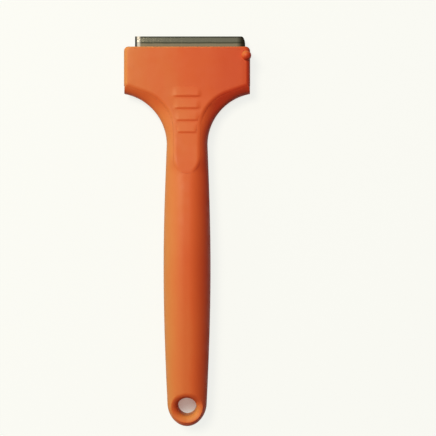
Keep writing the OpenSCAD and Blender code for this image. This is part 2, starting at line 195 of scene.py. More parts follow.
def skin(name, rings, strips=False):
    """A closed shell over rings of equal length. Each end gets a flat cap, or strips from right to left."""
    n = len(rings[0])
    faces = []
    for start in (0, (len(rings) - 1) * n):
        end = start + n - 1
        if strips:
            faces += [(start + i, start + i + 1, end - 1 - i, end - i) for i in range(n // 2 - 1)]
        else:
            faces.append(tuple(range(start, start + n)))
    for r in range(len(rings) - 1):
        for j in range(n):
            a, b = r * n + j, r * n + (j + 1) % n
            faces.append((a, b, b + n, a + n))
    return make_piece(name, [point for ring in rings for point in ring], faces)


def mirrored(right):
    """A closed ring from its right half."""
    return right + [(-x, s, z) for x, s, z in reversed(right)]


def full_turn(count):
    return [2 * math.pi * i / count for i in range(count)]


print("points merge within", SAME_POINT, "mm")

# %% Booleans and shading
SLIVER = 0.002
IDLE_BEND = 0.01


def combine(piece, other, operation):
    """Cuts another shell from a piece, or joins it on, and removes the other."""
    modifier = piece.modifiers.new("shape", "BOOLEAN")
    modifier.object = other
    modifier.operation = operation
    modifier.solver = "MANIFOLD"
    bpy.context.view_layer.update()
    depsgraph = bpy.context.evaluated_depsgraph_get()
    shaped = bpy.data.meshes.new_from_object(piece.evaluated_get(depsgraph))
    piece.modifiers.clear()
    piece.data = shaped
    shaped.name = piece.name
    bpy.data.objects.remove(other)


def bend(point):
    """How far a point with two edges stands off the line between its neighbours."""
    a, b = [edge.other_vert(point).co for edge in point.link_edges]
    return (point.co - intersect_point_line(point.co, a, b)[0]).length


def shade(piece, sharp_degrees):
    """Smooth shading, with edges over an angle kept sharp. Slivers and idle points go first."""
    shell = bmesh.new()
    shell.from_mesh(piece.data)
    bmesh.ops.dissolve_degenerate(shell, edges=shell.edges, dist=SLIVER * MM)
    pairs = [point for point in shell.verts if len(point.link_edges) == 2]
    idle = [point for point in pairs if bend(point) < IDLE_BEND * MM]
    bmesh.ops.dissolve_verts(shell, verts=idle)
    shell.to_mesh(piece.data)
    shell.free()
    piece.data.shade_smooth()
    piece.data.set_sharp_from_angle(angle=math.radians(sharp_degrees))
    print(piece.name, "has", len(piece.data.polygons), "faces")


print("idle points bend an edge by less than", IDLE_BEND, "mm")

# %% [markdown]
# ## Handle
# The real handle is one moulding: a grip with an oval section and a flat back, a narrow neck, and
# shoulders that sweep out to the head. A subdivision cage would be hard to hold to the solid's size, so
# a section with a flat top and a flat back is lofted along many stations instead. The butt closes almost
# to a point under a quarter of an ellipse, and the front edge is rolled over.

# %% Heights and widths along the handle
BUTT_ROUND = 7.6
SHOULDER_SWEEP = math.radians(79)
BACK_ROUND = 2.4
CROWN_FLAT = 0.6
SHOULDER_BAND = 0.7
TONGUE_BAND = 1.4
TONGUE_FILL = 6
SHOULDER_FILL = 4
COVER_PROUD = 0.45
PROUD_RISE = 9
GRIP_WAIST_Z = 5.8


def handle_z(s):
    """The handle drops below the cover along the shoulders."""
    return top_z(s) - COVER_PROUD * ease((s - CURVE_S) / PROUD_RISE)


def waist_z(s):
    """Height of the widest line."""
    return mix(GRIP_WAIST_Z, PARTING_Z, ease((s - CROWN_END_S) / (CORNER_S - CROWN_END_S)))


def body_half(s):
    """Half width of the outline seen from above."""
    if s < BELLY_S:
        return mix(BELLY_HALF, BUTT_HALF, quarter_fall((BELLY_S - s) / BELLY_S))
    if s < NECK_S:
        return mix(BELLY_HALF, NECK_HALF, quarter_fall((s - BELLY_S) / (NECK_S - BELLY_S)))
    if s < CORNER_S:
        rise = (s - NECK_S) / SHOULDER_LEN * math.sin(SHOULDER_SWEEP)
        share = (1 - math.sqrt(1 - rise * rise)) / (1 - math.cos(SHOULDER_SWEEP))
        return mix(NECK_HALF, HEAD_HALF, share)
    run = limited((s - FRONT_S + CORNER_R) / CORNER_R)
    return HEAD_HALF - CORNER_R * (1 - math.sqrt(1 - run * run))


def flat_half(s):
    """Half width of the flat along the top."""
    flat = mix(CROWN_FLAT, TONGUE_HALF - TONGUE_BAND, ease((s - TIP_S) / TONGUE_FILL))
    return mix(flat, body_half(s) - SHOULDER_BAND, ease((s - CURVE_S) / SHOULDER_FILL))


def butt_share(s):
    """Share of the full section that the rounding of the butt leaves."""
    u = 1 - limited(s / BUTT_ROUND)
    return math.sqrt(1 - u * u)


def handle_top(x, s):
    """Height of the handle's upper surface at a place."""
    k = butt_share(s)
    side = body_half(s) * k
    flat = min(flat_half(s) * k, side)
    t = limited((abs(x) - flat) / (side - flat))
    return waist_z(s) + (handle_z(s) - waist_z(s)) * k * math.sqrt(1 - t * t)


print("grip is", 2 * body_half(BELLY_S), "mm wide, its neck", 2 * body_half(NECK_S))

# %% Section of the handle
FRONT_ROLL = 0.4
LOW_COUNT = 14
HIGH_COUNT = 24
BACK_COUNT = 4
TOP_COUNT = 3


def handle_section(s):
    """One closed section of the handle, from the middle of its back and round to the right."""
    k = butt_share(s)
    u = limited((s - FRONT_S + FRONT_ROLL) / FRONT_ROLL)
    inset = FRONT_ROLL * (1 - math.sqrt(1 - u * u))
    waist = waist_z(s)
    side = body_half(s) * k - inset
    flat = min(flat_half(s) * k, side)
    back = (body_half(s) - BACK_ROUND) * k - inset
    rise = (handle_z(s) - waist) * k
    fall = waist * k - inset
    low = [
        (back + (side - back) * math.sin(a), s, waist - fall * math.cos(a))
        for a in spread(0, math.pi / 2, LOW_COUNT)
    ]
    high = [
        (flat + (side - flat) * math.cos(a), s, waist + rise * math.sin(a))
        for a in spread(0, math.pi / 2, HIGH_COUNT)
    ]
    bottom = [(x, s, waist - fall) for x in spread(0, back, BACK_COUNT)[:-1]]
    top = [(x, s, waist + rise) for x in spread(flat, 0, TOP_COUNT)[1:]]
    right = bottom + low + high[1:] + top
    return right + [(-x, y, z) for x, y, z in reversed(right[1:-1])]


print("a section has", len(handle_section(BELLY_S)), "points")

# %% Loft of the handle
BUTT_START = math.radians(3)
BUTT_COUNT = 26
GRIP_COUNT = 110
SHOULDER_COUNT = 60
HEAD_COUNT = 24
CORNER_TURN = math.radians(50)
FRONT_CORNER_COUNT = 8
FRONT_ROLL_COUNT = 6
LEAST_STEP = 0.01


def handle_stations():
    butt = [BUTT_ROUND * (1 - math.cos(a)) for a in spread(BUTT_START, math.pi / 2, BUTT_COUNT)]
    grip = spread(BUTT_ROUND, NECK_S, GRIP_COUNT)[1:]
    sweep = spread(0, SHOULDER_SWEEP, SHOULDER_COUNT)[1:]
    shoulder = [NECK_S + SHOULDER_LEN * math.sin(a) / math.sin(SHOULDER_SWEEP) for a in sweep]
    head = spread(CORNER_S, FRONT_S - CORNER_R, HEAD_COUNT)[1:]
    corner_turns = spread(0, CORNER_TURN, FRONT_CORNER_COUNT)[1:]
    corner = [FRONT_S - CORNER_R + CORNER_R * math.sin(a) for a in corner_turns]
    roll_turns = spread(0, math.pi / 2, FRONT_ROLL_COUNT)
    rolled = [FRONT_S - FRONT_ROLL + FRONT_ROLL * math.sin(a) for a in roll_turns]
    return butt + grip + shoulder + head + [s for s in corner if s < rolled[0] - LEAST_STEP] + rolled


handle = skin("handle_moulding", [handle_section(s) for s in handle_stations()])
print("handle loft has", len(handle.data.vertices), "points")

# %% [markdown]
# ## Flanks under the head
# Below the head's front face the real moulding rolls off towards the outline, at right angles to the
# edge: a round flank beside the tongue, which turns into a bevel with a rounded foot along the head. A
# loft of cross sections can only roll sideways, so a shell with the wanted flank on its underside is
# swept along the edge and cut away on both sides.

# %% Section of a flank
PAST = 2.0
FLANK_STEP = 0.02
FLANK_PAST = 1
FLANK_COUNT = 20
FLANK_SLOPE = 0.52
FLANK_FOOT = 0.9
FOOT_START = 0.65
BEVEL_START = math.radians(86)
BEVEL_SPAN = math.radians(46)


def flank_band(x, s, away):
    """Width of the flank from a place on the cover's edge to the outline, square to the edge."""
    band = FLANK_STEP
    while body_half(s - band * math.cos(away)) > min(x + band * math.sin(away), HEAD_HALF - FLANK_STEP):
        band += FLANK_STEP
    return band


def flank_share(u, band, height, bevel):
    """Share of the height that is left on the way out: the end of an ellipse, or a bevel that steepens."""
    rolled = (TONGUE_BAND + band * u) / (TONGUE_BAND + band)
    start = min(1, FLANK_SLOPE * band / height)
    return mix(math.sqrt(1 - rolled * rolled), 1 - start * u - (1 - start) * u * u, bevel)


def arc_bevel(turn):
    """The flank is an ellipse beside the tongue and a bevel along the head."""
    return ease((BEVEL_START - turn) / BEVEL_SPAN)


def flank_ring(x, s, away, bevel):
    """A cross section of the cut: the flank from the cover's edge outwards, and a flat top above it."""
    band = flank_band(x, s, away)
    foot = FLANK_FOOT * bevel
    ring = []
    for d in [band * math.sin(a) for a in spread(0, math.pi / 2, FLANK_COUNT)] + [band + FLANK_PAST]:
        place = min(s - d * math.cos(away), FRONT_S)
        u = limited(d / band)
        v = limited((u - FOOT_START) / (1 - FOOT_START))
        low = waist_z(place) + FLANK_STEP + foot
        share = flank_share(u, band, handle_z(place) - low, bevel)
        z = mix(low, handle_z(place) + FLANK_STEP, share) - foot * (1 - math.sqrt(1 - v * v))
        ring.append((x + d * math.sin(away), s - d * math.cos(away), z))
    first, last = ring[0], ring[-1]
    return ring + [(last[0], last[1], GRIP_T + PAST), (first[0], first[1], GRIP_T + PAST)]


def seam_z(x, s):
    """Height of the handle's surface at the cover's edge."""
    if s <= CURVE_S or s >= TOUCH_S:
        return handle_top(x, s)
    turn = math.acos((s - CURVE_S) / CURVE_R)
    height = handle_z(s) - waist_z(s)
    return waist_z(s) + height * flank_share(0, flank_band(x, s, turn), height, arc_bevel(turn))


corner_flank = flank_band(HEAD_HALF, COVER_CORNER_S, COVER_SLOPE)
print("flank at the head's corner is", round(corner_flank, 2), "mm wide")

# %% Sweep of the flanks
ARC_END = math.radians(89.5)
SLOPE_RINGS = 16
ARC_RINGS = 60
slope_places = spread(HEAD_HALF + PAST, TOUCH_X, SLOPE_RINGS)
flank_rings = [flank_ring(x, slope_s(x, 0), COVER_SLOPE, 1) for x in slope_places]
for turn in spread(COVER_SLOPE, ARC_END, ARC_RINGS)[1:]:
    edge_x = CURVE_X - CURVE_R * math.sin(turn)
    edge_s = CURVE_S + CURVE_R * math.cos(turn)
    flank_rings.append(flank_ring(edge_x, edge_s, turn, arc_bevel(turn)))
for side in (1, -1):
    flank = [[(side * x, s, z) for x, s, z in ring] for ring in flank_rings]
    combine(handle, skin("flank_roll", flank), "DIFFERENCE")
print("handle with rolled flanks has", len(handle.data.polygons), "faces")

# %% [markdown]
# ## Pocket in the handle
# The jaw cover sits in a pocket that follows its outline with a fine gap. The wall behind the tongue's
# tip leans away below the rim, because the tip swings back a little as it goes down. Modelled face by
# face, the rim would have to follow the curved grip point by point. A shell that passes through the
# surface leaves that to the boolean.

# %% Pocket for the jaw cover
SEAM_GAP = 0.03
TIP_SWING = 0.75
SWING_SHARE = 0.32
TAIL_S = 94.95
TAIL_T = 1.0
TAIL_FLOOR_Z = 5.91
SEAT_GAP = 0.05
TAIL_STEP = 0.01
WALL_STEP = 1
POCKET_ARC_COUNT = 60
POCKET_TIP_COUNT = 24


def under_z(s):
    """Underside of the cover: flat over the blade, then a ramp up to the thin tail over the hinge."""
    if s >= CURVE_S:
        return PARTING_Z
    if s > TAIL_S:
        return mix(top_z(TAIL_S) - TAIL_T, PARTING_Z, (s - TAIL_S) / (CURVE_S - TAIL_S))
    return top_z(s) - TAIL_T


def pocket_outline(tip_shift):
    """Right half of the pocket, as (x, station)."""
    far_x = HEAD_HALF + PAST
    wall_s = [CURVE_S - 2 * WALL_STEP, TAIL_S + TAIL_STEP, TAIL_S - TAIL_STEP, TIP_CENTRE_S + WALL_STEP]
    return (
        [(far_x, FRONT_S + PAST), (far_x, slope_s(far_x, -SEAM_GAP))]
        + arc_points(-SEAM_GAP, POCKET_ARC_COUNT)
        + [(TONGUE_HALF + SEAM_GAP, s) for s in wall_s]
        + tip_points(-SEAM_GAP, tip_shift, POCKET_TIP_COUNT)
    )


def pocket_floor(s):
    """The floor follows the cover's underside, and is flat under the tail."""
    return under_z(s) - SEAT_GAP if s > TAIL_S else TAIL_FLOOR_Z


def pocket_ring(tip_shift, depth_share):
    """A ring of the pocket's wall, some of the way down from the handle's surface to the pocket's floor."""
    right = []
    for (x, s), (rim_x, rim_s) in zip(pocket_outline(tip_shift), pocket_outline(0)):
        rim_z = handle_top(rim_x, min(rim_s, FRONT_S))
        right.append((x, s, mix(rim_z, pocket_floor(rim_s), depth_share)))
    return mirrored(right)


above = [(x, s, GRIP_T + PAST) for x, s, z in pocket_ring(0, 0)]
steps_down = ((0, 0), (TIP_SWING, SWING_SHARE), (TIP_SWING, 1))
walls = [pocket_ring(shift, share) for shift, share in steps_down]
combine(handle, skin("jaw_pocket", [above] + walls, strips=True), "DIFFERENCE")
print("handle with its jaw pocket has", len(handle.data.polygons), "faces")

# %% [markdown]
# ## Slot, hole and back of the handle
# The blade lies in a shallow slot that opens to the front. The hang hole is straight, with a mouth that
# flares like a trumpet so that a hook finds it. Its rim follows the grip's curved surface, which a turned
# cutter can't do, so each ring of the cutter is sunk below that rim. The grip is cored from behind so that
# the moulding cools evenly, which leaves a seat, rows of hollow cells and three peg holes for the back
# plate.

# %% Blade slot
BLADE_SHIFT = 1.0
BLADE_HALF = 19.05
BLADE_W = 19.05
BLADE_GAP = 0.15
REAR_JAW_T = 3.2
SPINE_S = EDGE_S - BLADE_W
LEFT_END = BLADE_SHIFT - BLADE_HALF
RIGHT_END = BLADE_SHIFT + BLADE_HALF
slot_left = LEFT_END - BLADE_GAP
slot_right = RIGHT_END + BLADE_GAP
slot_back = SPINE_S - BLADE_GAP
slot_front = FRONT_S + PAST
slot_plan = [
    (slot_left, slot_back),
    (slot_right, slot_back),
    (slot_right, slot_front),
    (slot_left, slot_front),
]
slot_rings = [[(x, s, z) for x, s in slot_plan] for z in (REAR_JAW_T, PARTING_Z)]
combine(handle, skin("blade_slot", slot_rings), "DIFFERENCE")
print("blade slot is", round(slot_right - slot_left, 2), "mm wide")

# %% Hang hole
HANG_S = 6.9
HANG_R = 3.2
MOUTH_R = 5.4
MOUTH_DEPTH = 2.4
BACK_BREAK = 0.25
HOLE_SIDES = 96
MOUTH_COUNT = 18
MOUTH_PAST = 0.02
MOUTH_RISE = 0.3


def hole_ring(radius, sink):
    """A ring of the hole, a constant depth below its rim, which follows the grip's surface."""
    ring = []
    for a in full_turn(HOLE_SIDES):
        rim_z = handle_top(MOUTH_R * math.cos(a), HANG_S + MOUTH_R * math.sin(a))
        ring.append((radius * math.cos(a), HANG_S + radius * math.sin(a), rim_z - sink))
    return ring


def flat_ring(radius, z):
    return [(x, s, z) for x, s, _ in hole_ring(radius, 0)]


hang_rings = [flat_ring(HANG_R + BACK_BREAK + PAST, -PAST), flat_ring(HANG_R, BACK_BREAK)]
for a in spread(0, math.pi / 2, MOUTH_COUNT):
    flare = (MOUTH_R - HANG_R) * (1 - math.cos(a))
    hang_rings.append(hole_ring(HANG_R + flare, MOUTH_DEPTH * (1 - math.sin(a))))
hang_rings.append(hole_ring(MOUTH_R + MOUTH_PAST, -MOUTH_RISE))
hang_rings.append(flat_ring(MOUTH_R + MOUTH_PAST, GRIP_T + PAST))
combine(handle, skin("hang_hole", hang_rings), "DIFFERENCE")
print("hang hole is", 2 * HANG_R, "mm across, its mouth", 2 * MOUTH_R)

# %% Seat, cells and peg holes behind the grip
PLATE_S = 47
PLATE_LEN = 58
PLATE_HALF = 3.8
PLATE_T = 1.6
PLATE_GAP = 0.15
SEAT_BREAK = 0.15
CELL_ROWS = 4
CELL_LEN = 10.3
CELL_HALF = 1.15
CELL_X = 1.75
CELL_PITCH = 15.3
CELL_DEPTH = 7
PEG_R = 1.0
PEG_LEN = 4
PEG_FIT = 0.02
PEG_SIDES = 32
PEG_TOP_Z = PLATE_T + PEG_LEN
END_COUNT = 20


def round_slot(x, s, length, half, z):
    """A ring with round ends, along the handle."""
    reach = length / 2 - half
    turns = spread(0, math.pi, END_COUNT)
    front = [(x + half * math.cos(a), s + reach + half * math.sin(a), z) for a in turns]
    return front + [(2 * x - px, 2 * s - ps, z) for px, ps, z in front]


def turned(name, x, s, profile, count):
    """A shell turned round an upright axis, from a profile of (radius, z)."""
    turns = full_turn(count)
    rings = [[(x + r * math.cos(a), s + r * math.sin(a), z) for a in turns] for r, z in profile]
    return skin(name, rings)


def rows(count):
    """Stations of evenly spaced cells or pegs, about the middle of the plate."""
    return [PLATE_S + (i - (count - 1) / 2) * CELL_PITCH for i in range(count)]


seat_rings = [
    round_slot(0, PLATE_S, PLATE_LEN + 2 * grow, PLATE_HALF + grow, z)
    for grow, z in (
        (PLATE_GAP + SEAT_BREAK + PAST, -PAST),
        (PLATE_GAP, SEAT_BREAK),
        (PLATE_GAP, PLATE_T),
    )
]
combine(handle, skin("plate_seat", seat_rings), "DIFFERENCE")
for s in rows(CELL_ROWS):
    for x in (-CELL_X, CELL_X):
        cell = [round_slot(x, s, CELL_LEN, CELL_HALF, z) for z in (PLATE_T - PAST, PLATE_T + CELL_DEPTH)]
        combine(handle, skin("cell", cell), "DIFFERENCE")
for s in rows(CELL_ROWS - 1):
    hole = [(PEG_R + PEG_FIT, PLATE_T - PAST), (PEG_R + PEG_FIT, PEG_TOP_Z + PLATE_GAP)]
    combine(handle, turned("peg_hole", 0, s, hole, PEG_SIDES), "DIFFERENCE")
print("cells behind the grip:", 2 * CELL_ROWS)

# %% [markdown]
# ## Hinge posts
# Two posts stand on the floor of the pocket and carry the ends of the hinge pin, with the cover's
# knuckle between them. Each could be a cylinder welded to a box, but one bar that runs across the tool,
# drawn by its side view, makes the posts, the knuckle, the blade and its spine alike.

# %% Posts on the pocket floor
PIN_S = 93.6
PIN_Z = 7.26
PIN_R = 0.6
PIN_FIT = 0.02
PIN_SIDES = 32
BORE_HALF = 4.05
KNUCKLE_R = 1.15
POST_IN = 1.85
POST_OUT = 4.4
POST_COUNT = 16
WELD = 0.3


def across(name, profile, places):
    """A bar across the tool from a side view of (station, z)."""
    return skin(name, [[(x, s, z) for s, z in profile] for x in places])


def round_pin(radius, turns):
    """Points of a side view round the hinge pin's axis."""
    return [(PIN_S + radius * math.cos(a), PIN_Z + radius * math.sin(a)) for a in turns]


pin_turns = full_turn(PIN_SIDES)
post_foot_z = TAIL_FLOOR_Z - WELD
post = round_pin(KNUCKLE_R, spread(0, math.pi, POST_COUNT))
post += [(PIN_S - KNUCKLE_R, post_foot_z), (PIN_S + KNUCKLE_R, post_foot_z)]
for places in ((POST_IN, POST_OUT), (-POST_OUT, -POST_IN)):
    combine(handle, across("hinge_post", post, places), "UNION")
pin_bore = round_pin(PIN_R + PIN_FIT, pin_turns)
combine(handle, across("pin_bore", pin_bore, (-BORE_HALF, BORE_HALF)), "DIFFERENCE")
shade(handle, sharp_degrees=42)
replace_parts(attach(handle, "handle"), "handle")

# %% [markdown]
# ## Jaw cover
# The cover is the front face of the head and the thumb tongue in one moulding. Its outline is drawn at
# several insets and heights, which rolls the edge over as a mould does: a tight roll along the front and
# the sides of the head, and behind them a soft one, along the slopes and the tongue, that ends level with
# the handle. A bevel modifier would need a weight on each edge to change its width like that. The top is
# a grid of strips from right to left. Its rows follow the outline, so the thumb ribs can be raised in the
# grid itself and stay one surface with it.

# %% Outline rings of the cover
HEAD_BAND = 1.6
HEAD_BAND_DROP = 1.5
FRONT_BAND = 0.5
FRONT_DROP = 0.6
LEAST_DROP = 0.08
TIGHT_ROLL = math.radians(32)
SOFT_ROLL = math.radians(72)
CORNER_COUNT = 10
SIDE_COUNT = 8
SLOPE_COUNT = 22
ARC_COUNT = 96
CLOSE_LEN = 1
CLOSE_COUNT = 7
TONGUE_COUNT = 14
TIP_COUNT = 26
ROLL_COUNT = 7


def cover_outline(inset, side_inset, front_inset):
    """Right half of the cover, as (x, station)."""
    x = HEAD_HALF - side_inset
    front = FRONT_S - front_inset
    arc = arc_points(inset, ARC_COUNT)
    corner = [
        (x - CORNER_R * (1 - math.sin(a)), front - CORNER_R * (1 - math.cos(a)))
        for a in spread(0, math.pi / 2, CORNER_COUNT)
    ]
    low = slope_s(x, inset)
    side = [(x, s) for s in spread(front - CORNER_R, low, SIDE_COUNT)[1:]]
    arc_x, arc_s = arc[0]
    shares = [t * t for t in spread(0, 1, SLOPE_COUNT)[1:-1]]
    slope = [(mix(x, arc_x, share), mix(low, arc_s, share)) for share in shares]
    close_s = CURVE_S - CLOSE_LEN
    straight = spread(CURVE_S, close_s, CLOSE_COUNT)[1:] + spread(close_s, TIP_CENTRE_S, TONGUE_COUNT)[1:-1]
    tongue = [(TONGUE_HALF - inset, s) for s in straight]
    return corner + side + slope + arc + tongue + tip_points(inset, 0, TIP_COUNT)


def roll(start, t):
    """One step of a rolled edge: its share of the inset and of the drop."""
    turn = mix(start, math.pi / 2, t)
    return 1 - math.cos(turn) / math.cos(start), (1 - math.sin(turn)) / (1 - math.sin(start))


outer = cover_outline(0, 0, 0)
head_drops = spread(FRONT_DROP, HEAD_BAND_DROP, CORNER_COUNT) + [HEAD_BAND_DROP] * SIDE_COUNT
behind = outer[len(head_drops) :]
seat_drops = [min(HEAD_BAND_DROP, max(LEAST_DROP, top_z(s) - seam_z(x, s))) for x, s in behind]
cover_levels = [[(x, s, under_z(s)) for x, s in outer]]
for t in spread(0, 1, ROLL_COUNT):
    tight_in, tight_fall = roll(TIGHT_ROLL, t)
    soft_in, soft_fall = roll(SOFT_ROLL, t)
    level = cover_outline(TONGUE_BAND * soft_in, HEAD_BAND * tight_in, FRONT_BAND * tight_in)
    falls = [drop * tight_fall for drop in head_drops] + [drop * soft_fall for drop in seat_drops]
    cover_levels.append([(x, s, top_z(s) - fall) for (x, s), fall in zip(level, falls)])
print("cover outline has", len(outer), "places on each side")

# %% [markdown]
# Each rib is a low wedge with its steep face towards the grip, so a thumb that pushes forward finds a
# hold. The ribs narrow down the tongue. Separate wedges would leave creases all round, so the ribs are
# written as heights over the cover's top, and eased over a millimetre at the steep face and two at the
# ends.

# %% Thumb ribs as heights
FIRST_RIB = 14.2
RIB_PITCH = 4.15
RIB_COUNT = 4
LEAST_RIB_HALF = 3.2
MOST_RIB_HALF = 4.4
RIB_STARTS = [TIP_S + FIRST_RIB + i * RIB_PITCH for i in range(RIB_COUNT)]
RIB_HALVES = spread(LEAST_RIB_HALF, MOST_RIB_HALF, RIB_COUNT - 1)
RIB_LEN = 3.2
RIB_H = 0.27
RIB_EASE = 0.5
RIB_SIDE_EASE = 1.0


def rib_height(x, s):
    height = 0.0
    for start, half in zip(RIB_STARTS, RIB_HALVES):
        wedge = limited(1 - (s - start) / RIB_LEN) * ease((s - start + RIB_EASE) / (2 * RIB_EASE))
        height += RIB_H * wedge * ease((half + RIB_SIDE_EASE - abs(x)) / (2 * RIB_SIDE_EASE))
    return height


print("rib faces at stations", [round(s, 2) for s in RIB_STARTS])

# %% Mesh of the cover
INNER_COLUMNS = 26
OUTER_COLUMNS = 8
INNER_HALF = 5.2
INNER_SHARE = 0.87


def row_places(half):
    """Places across one strip: close together under the ribs, wider apart towards the sides."""
    inner = min(INNER_HALF, INNER_SHARE * half)
    right = spread(half, inner, OUTER_COLUMNS)[:-1] + spread(inner, 0, INNER_COLUMNS)
    return right + [-x for x in reversed(right[:-1])]


def cover_mesh(name):
    """The underside, the rolled edges on both sides, the ribbed top and the two ends."""
    n = len(outer)
    points = [(side * x, s, z) for level in cover_levels for side in (1, -1) for x, s, z in level]
    right = [2 * n * level for level in range(len(cover_levels))]
    faces = [(i, i + 1, n + i + 1, n + i) for i in range(n - 1)]
    for low, high in zip(right, right[1:]):
        for a, b in ((low, high), (low + n, high + n)):
            faces += [(a + i, a + i + 1, b + i + 1, b + i) for i in range(n - 1)]
    crown = []
    for i, (x, s, z) in enumerate(cover_levels[-1]):
        places = row_places(x)
        inner = list(range(len(points), len(points) + len(places) - 2))
        points += [(p, s, z + rib_height(p, s)) for p in places[1:-1]]
        crown.append([right[-1] + i] + inner + [right[-1] + n + i])
    for row, after in zip(crown, crown[1:]):
        faces += [(row[c], after[c], after[c + 1], row[c + 1]) for c in range(len(row) - 1)]
    for i, row in ((0, crown[0]), (n - 1, crown[-1])):
        for low, high in zip(right[:-1], right[1:-1]):
            faces.append((low + i, high + i, high + n + i, low + n + i))
        faces.append((right[-2] + i, *row, right[-2] + n + i))
    return make_piece(name, points, faces)


jaw = cover_mesh("jaw_cover_moulding")
print("cover grid has", len(jaw.data.polygons), "faces")

# %% [markdown]
# The finger lug is a small dome on the right front corner, which a fingertip lifts to open the jaw. The
# knuckle hangs under the tongue and turns on the hinge pin. Both stand on a finished surface, so they are
# joined on with booleans.

# %% Finger lug
LUG_X = 20.4
LUG_SETBACK = 3.1
LUG_R = 1.65
LUG_SKIRT = 1.8
LUG_FOOT = 0.2
LUG_DOME = 1.65
LUG_TURN = math.radians(86)
LUG_COUNT = 14
LUG_SIDES = 48
skirt_z = HEAD_T - LUG_SKIRT
lug_side = [(LUG_R - LUG_FOOT, skirt_z), (LUG_R, skirt_z + LUG_FOOT)]
for a in spread(0, LUG_TURN, LUG_COUNT):
    lug_side.append((LUG_R * math.cos(a), HEAD_T + LUG_DOME * math.sin(a)))
combine(jaw, turned("finger_lug", LUG_X, FRONT_S - LUG_SETBACK, lug_side, LUG_SIDES), "UNION")
print("finger lug is", 2 * LUG_R, "mm across")

# %% Knuckle
KNUCKLE_HALF = 1.7
KNUCKLE_FIT = 0.05
KNUCKLE_PAST = 1
WEB_HALF = 0.92
web_top = top_z(PIN_S) - TAIL_T + WELD
web_front = PIN_S + WEB_HALF
web_back = PIN_S - WEB_HALF
web = [(web_back, PIN_Z), (web_front, PIN_Z), (web_front, web_top), (web_back, web_top)]
knuckle_ends = (-KNUCKLE_HALF, KNUCKLE_HALF)
bore_ends = (-KNUCKLE_HALF - KNUCKLE_PAST, KNUCKLE_HALF + KNUCKLE_PAST)
knuckle_bore = round_pin(PIN_R + KNUCKLE_FIT, pin_turns)
combine(jaw, across("knuckle", round_pin(KNUCKLE_R, pin_turns), knuckle_ends), "UNION")
combine(jaw, across("knuckle_web", web, knuckle_ends), "UNION")
combine(jaw, across("knuckle_bore", knuckle_bore, bore_ends), "DIFFERENCE")
shade(jaw, sharp_degrees=32)
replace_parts(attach(jaw, "jaw"), "jaw_cover")

# %% [markdown]
# ## Back plate
# A flush plate with round ends closes the cored grip from behind, and three pegs hold it. A bevel modifier
# would break its edge too, but rings that shrink a little towards the outside do it while the plate is
# made, so that a fine line shows round it.

# %% Plate and pegs
# Steps of the plate's broken edge: how far it shrinks, and at what height
PLATE_EDGE = ((0.3, 0), (0.09, 0.06), (0, 0.2))
PEG_TAPER = 0.4
PEG_ROUND = 0.12
plate_rings = [
    round_slot(0, PLATE_S, PLATE_LEN - 2 * shrink, PLATE_HALF - shrink, z)
    for shrink, z in PLATE_EDGE + ((0, PLATE_T),)
]
plate = skin("back_plate_moulding", plate_rings)
peg_side = [
    (PEG_R, PLATE_T - WELD),
    (PEG_R, PEG_TOP_Z - PEG_TAPER),
    (PEG_R - PEG_ROUND, PEG_TOP_Z - PEG_ROUND),
    (PEG_R - PEG_TAPER, PEG_TOP_Z),
]
for s in rows(CELL_ROWS - 1):
    combine(plate, turned("peg", 0, s, peg_side, PEG_SIDES), "UNION")
shade(plate, sharp_degrees=40)
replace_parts(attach(plate, "handle"), "back_plate")

# %% [markdown]
# ## Hinge pin and jaw spring
# The pin is a length of drawn wire with broken ends. The spring is a short coil under the tongue's tip that
# holds the jaw shut. A screw modifier would keep the wire's section upright, so a tube of points is swept
# square to the helix instead. When the jaw opens, the tongue presses the coil down towards the pocket's
# floor. Here the coil is drawn at rest and gets a mesh of its own.

# %% Hinge pin
PIN_HALF = 3.9
PIN_BREAK = 0.12
pin_rings = [
    [(x, s, z) for s, z in round_pin(radius, pin_turns)]
    for x, radius in (
        (-PIN_HALF, PIN_R - PIN_BREAK),
        (PIN_BREAK - PIN_HALF, PIN_R),
        (PIN_HALF - PIN_BREAK, PIN_R),
        (PIN_HALF, PIN_R - PIN_BREAK),
    )
]
pin = skin("hinge_pin_wire", pin_rings)
shade(pin, sharp_degrees=30)
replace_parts(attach(pin, "handle"), "hinge_pin")

# %% Jaw spring
SPRING_S = 90.0
SPRING_LOW_Z = 5.96
SPRING_CLIMB = 2.416
SPRING_R = 1.42
WIRE_R = 0.18
WIRE_SIDES = 14
SPRING_TURNS = 3
STEPS_A_TURN = 48
COIL_STEPS = SPRING_TURNS * STEPS_A_TURN
pitch_angle = math.atan(SPRING_CLIMB / (SPRING_TURNS * 2 * math.pi * SPRING_R))


def wire_ring(i):
    """A ring round the wire at one step of the helix."""
    a = 2 * math.pi * i / STEPS_A_TURN
    climb = SPRING_LOW_Z + WIRE_R + SPRING_CLIMB * i / COIL_STEPS
    ring = []
    for b in spread(0, 2 * math.pi, WIRE_SIDES)[:-1]:
        out = SPRING_R + WIRE_R * math.cos(b)
        lean = WIRE_R * math.sin(b) * math.sin(pitch_angle)
        x = out * math.cos(a) + lean * math.sin(a)
        s = out * math.sin(a) - lean * math.cos(a)
        ring.append((x, SPRING_S + s, climb + WIRE_R * math.sin(b) * math.cos(pitch_angle)))
    return ring


spring = skin("jaw_spring_coil", [wire_ring(i) for i in range(COIL_STEPS + 1)])
shade(spring, sharp_degrees=40)
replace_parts(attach(spring, "handle"), "jaw_spring")
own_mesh(spring)

# %% [markdown]
# ## Blade and spine
# A single-edge blade is a thin strip of hard steel, ground to an edge on one long side, with a notch in
# each end and a softer strip folded over its back as a spine. The grind shows as a wide facet with a
# narrow honed one at the very edge. A few points give that side view exactly, so the blade is drawn
# across the tool in one go. Use has worn its right corner round, and a cutter takes that off.

